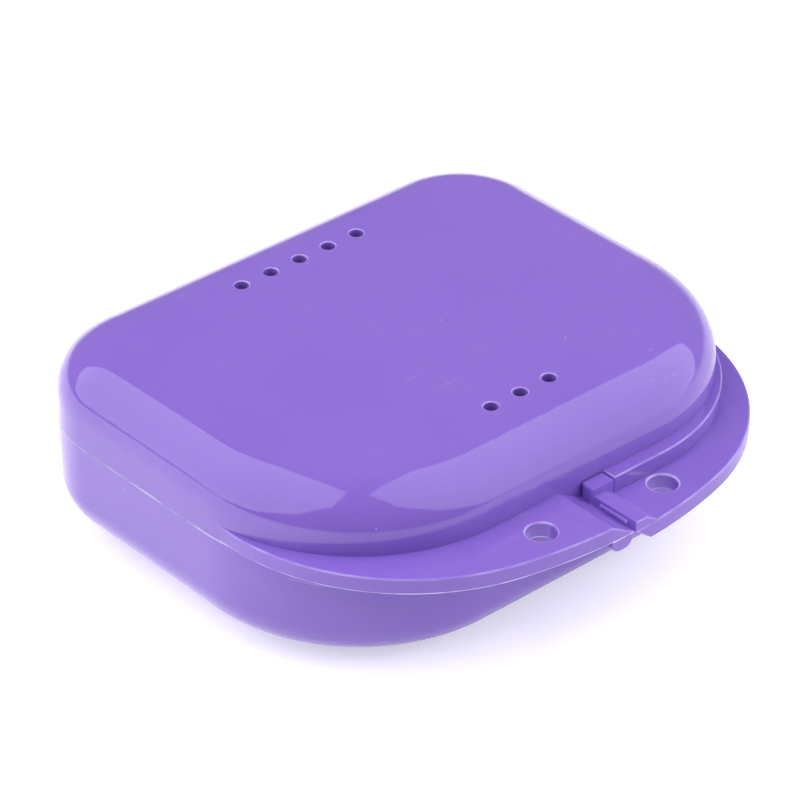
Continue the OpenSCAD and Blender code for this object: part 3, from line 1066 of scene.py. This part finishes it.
back = Vector((math.sin(AZIMUTH) * math.cos(ELEVATION), -math.cos(AZIMUTH) * math.cos(ELEVATION),
               math.sin(ELEVATION)))
lens = bpy.data.cameras.new("camera")
lens.sensor_width = SENSOR_W
lens.lens = SENSOR_W * FOCAL_PX / FRAME_PX
lens.shift_x, lens.shift_y = -SHIFT_PX[0] / FRAME_PX, SHIFT_PX[1] / FRAME_PX
lens.clip_start, lens.clip_end = NEAREST, FURTHEST
camera = add_object("camera", lens)
camera.location = TARGET + back * DISTANCE
camera.rotation_euler = back.to_track_quat("Z", "Y").to_euler()
scene.camera = camera
print("lens %.0f mm at %s" % (lens.lens, [round(v, 3) for v in camera.location]))

# %% [markdown]
# ## Softboxes
#
# Two large eight-sided softboxes lean over the case, one behind its left, one at its right front.
# Their borders are the soft strips that run along the lid's edge, so their directions were worked
# out from where the strips begin and end. A square lamp is masked in its own material: each point
# is folded into one quarter, measured along the octagon's sides, and left dark if it lies outside.


# %% The eight-sided mask
def eight_sided(tree):
    """Darkens a lamp outside the octagon whose corners touch the middles of its sides."""
    place = add_node(tree, "ShaderNodeNewGeometry").outputs["Parametric"]
    centred = add_node(tree, "ShaderNodeVectorMath", [(place, 0)], operation="SUBTRACT",
                       inputs={1: (0.5, 0.5, 0)})
    folded = add_node(tree, "ShaderNodeVectorMath", [(centred.outputs[0], 0)], operation="ABSOLUTE")
    wide, narrow = math.cos(math.pi / 8), math.sin(math.pi / 8)
    reach = [add_node(tree, "ShaderNodeVectorMath", [(folded.outputs[0], 0)], operation="DOT_PRODUCT",
                      inputs={1: side}).outputs["Value"]
             for side in ((wide, narrow, 0), (narrow, wide, 0))]
    furthest = add_node(tree, "ShaderNodeMath", [(reach[0], 0), (reach[1], 1)], operation="MAXIMUM")
    inside = add_node(tree, "ShaderNodeMath", [(furthest.outputs[0], 0)], operation="LESS_THAN",
                      inputs={1: wide / 2})
    glow = add_node(tree, "ShaderNodeEmission", [(inside.outputs[0], "Strength")])
    add_node(tree, "ShaderNodeOutputLight", [(glow.outputs[0], "Surface")])


print("the octagon covers %.0f%% of its square" % (100 * math.sqrt(0.5)))

# %% [markdown]
# A softbox is placed by its direction, how far it is moved in its own plane, and its half sizes,
# all as shares of its distance. Its power follows from how bright its surface should look.

# %% The two softboxes
SOFTBOX_DISTANCE = 0.75


def softbox(name, facing, offset, size, radiance):
    normal = Vector(facing).normalized()
    side = Vector((0, 0, 1)).cross(normal).normalized()
    up = normal.cross(side)
    data = bpy.data.lights.new(name, "AREA")
    data.shape = "RECTANGLE"
    data.size, data.size_y = 2 * size[0] * SOFTBOX_DISTANCE, 2 * size[1] * SOFTBOX_DISTANCE
    data.energy = radiance * math.pi * data.size * data.size_y
    eight_sided(empty_tree(data))
    lamp = add_object(name, data)
    lamp.location = (normal + side * offset[0] + up * offset[1]) * SOFTBOX_DISTANCE + TARGET
    lamp.rotation_euler = normal.to_track_quat("Z", "Y").to_euler()
    print(name, "%.2f x %.2f m," % (data.size, data.size_y), "%.1f W" % data.energy)


softbox("softbox_left", facing=(-0.54, 0.42, 0.73), offset=(0.15, -0.13), size=(0.86, 0.93),
        radiance=2.1)
softbox("softbox_right", facing=(0.563, -0.361, 0.743), offset=(-0.25, -0.2), size=(0.92, 1.06),
        radiance=1.9)

# %% [markdown]
# ## Sky
#
# A dim even sky fills the shadows. A studio has a white backdrop behind the case, and glossy walls
# mirror it. Built as an object it would also light the case, so it is a gradient in the sky that
# only mirrored rays see: brightest at the horizon, and only on the side behind the case. The
# camera itself sees plain white.

# %% Sky
SKY_DIM, SKY_SEEN = 0.08, 1.0
HORIZON_GLOW, UPPER_GLOW, HORIZON_TOP = 0.92, 0.24, 0.06
BACKDROP_SIDE, BACKDROP_STARTS, BACKDROP_FULL = (0.66, 0.75, 0), -0.1, 0.5


def gradient(tree, place, direction, start, end, at_start, at_end):
    """A value that eases from at_start to at_end as place moves along a direction."""
    along = add_node(tree, "ShaderNodeVectorMath", [(place, 0)], operation="DOT_PRODUCT",
                     inputs={1: direction})
    return add_node(tree, "ShaderNodeMapRange", [(along.outputs["Value"], "Value")],
                    interpolation_type="SMOOTHSTEP",
                    inputs={"From Min": start, "From Max": end,
                            "To Min": at_start, "To Max": at_end}).outputs[0]


scene.world = bpy.data.worlds.new("sky")
sky = empty_tree(scene.world)
rays = add_node(sky, "ShaderNodeLightPath").outputs
toward = add_node(sky, "ShaderNodeTexCoord").outputs["Generated"]
fading = gradient(sky, toward, (0, 0, 1), 0.0, HORIZON_TOP, HORIZON_GLOW, UPPER_GLOW)
behind = gradient(sky, toward, BACKDROP_SIDE, BACKDROP_STARTS, BACKDROP_FULL, 0.0, 1.0)
level = add_node(sky, "ShaderNodeMath", [(fading, 0), (behind, 1)], operation="MULTIPLY_ADD",
                 inputs={2: SKY_DIM})
dim = add_node(sky, "ShaderNodeBackground", inputs={"Strength": SKY_DIM})
backdrop = add_node(sky, "ShaderNodeBackground", [(level.outputs[0], "Strength")])
bright = add_node(sky, "ShaderNodeBackground", inputs={"Strength": SKY_SEEN})
for background in (dim, backdrop, bright):
    background.inputs["Color"].default_value = srgb("#FFFFFF")
mirrored = add_node(sky, "ShaderNodeMixShader", [
    (rays["Is Glossy Ray"], "Fac"), (dim.outputs[0], 1), (backdrop.outputs[0], 2)])
choose = add_node(sky, "ShaderNodeMixShader", [
    (rays["Is Camera Ray"], "Fac"), (mirrored.outputs[0], 1), (bright.outputs[0], 2)])
add_node(sky, "ShaderNodeOutputWorld", [(choose.outputs[0], "Surface")])
print("sky: light", SKY_DIM, "mirrored up to", HORIZON_GLOW + SKY_DIM, "seen", SKY_SEEN)

# %% [markdown]
# ## Floor
#
# The floor is white paper. Seen by the camera it gets a little glow of its own, enough to reach
# white where nothing shades it, and it keeps the case's shadow. Mirrored in the case it glows too,
# most behind the case, as if a white card lay there. As in the sky, only mirrored rays see that.

# %% Floor
FLOOR_HALF, FLOOR_DROP = 3.0, 0.00005  # metres; the drop keeps it clear of the case's foot
CARD_SIDE, CARD_EDGE = (-0.55, 0.83, 0), 0.04
GLOW_IN_FRONT, GLOW_BEHIND = 0.7, 2.0
PAPER, PAPER_GLOW = "#F7F7F7", "#B4B4B4"

paper = bpy.data.materials.new("white_paper_matt")
sheet = empty_tree(paper)
rays = add_node(sheet, "ShaderNodeLightPath").outputs
spot = add_node(sheet, "ShaderNodeTexCoord").outputs["Object"]
card = gradient(sheet, spot, CARD_SIDE, -CARD_EDGE, CARD_EDGE, GLOW_IN_FRONT, GLOW_BEHIND)
seen = add_node(sheet, "ShaderNodeMath", [
    (card, 0), (rays["Is Glossy Ray"], 1), (rays["Is Camera Ray"], 2)], operation="MULTIPLY_ADD")
matt = add_node(sheet, "ShaderNodeBsdfDiffuse", inputs={"Color": srgb(PAPER)})
glow = add_node(sheet, "ShaderNodeEmission", [(seen.outputs[0], "Strength")],
                inputs={"Color": srgb(PAPER_GLOW)})
both = add_node(sheet, "ShaderNodeAddShader", [(matt.outputs[0], 0), (glow.outputs[0], 1)])
add_node(sheet, "ShaderNodeOutputMaterial", [(both.outputs[0], "Surface")])
corners = [(x * FLOOR_HALF, y * FLOOR_HALF, -FLOOR_DROP)
           for x, y in ((-1, -1), (1, -1), (1, 1), (-1, 1))]
floor = mesh_piece("floor", corners, [(0, 1, 2, 3)])
floor.data.materials.append(paper)
print("floor:", 2 * FLOOR_HALF, "m square,", len(sheet.nodes), "nodes in its paper")
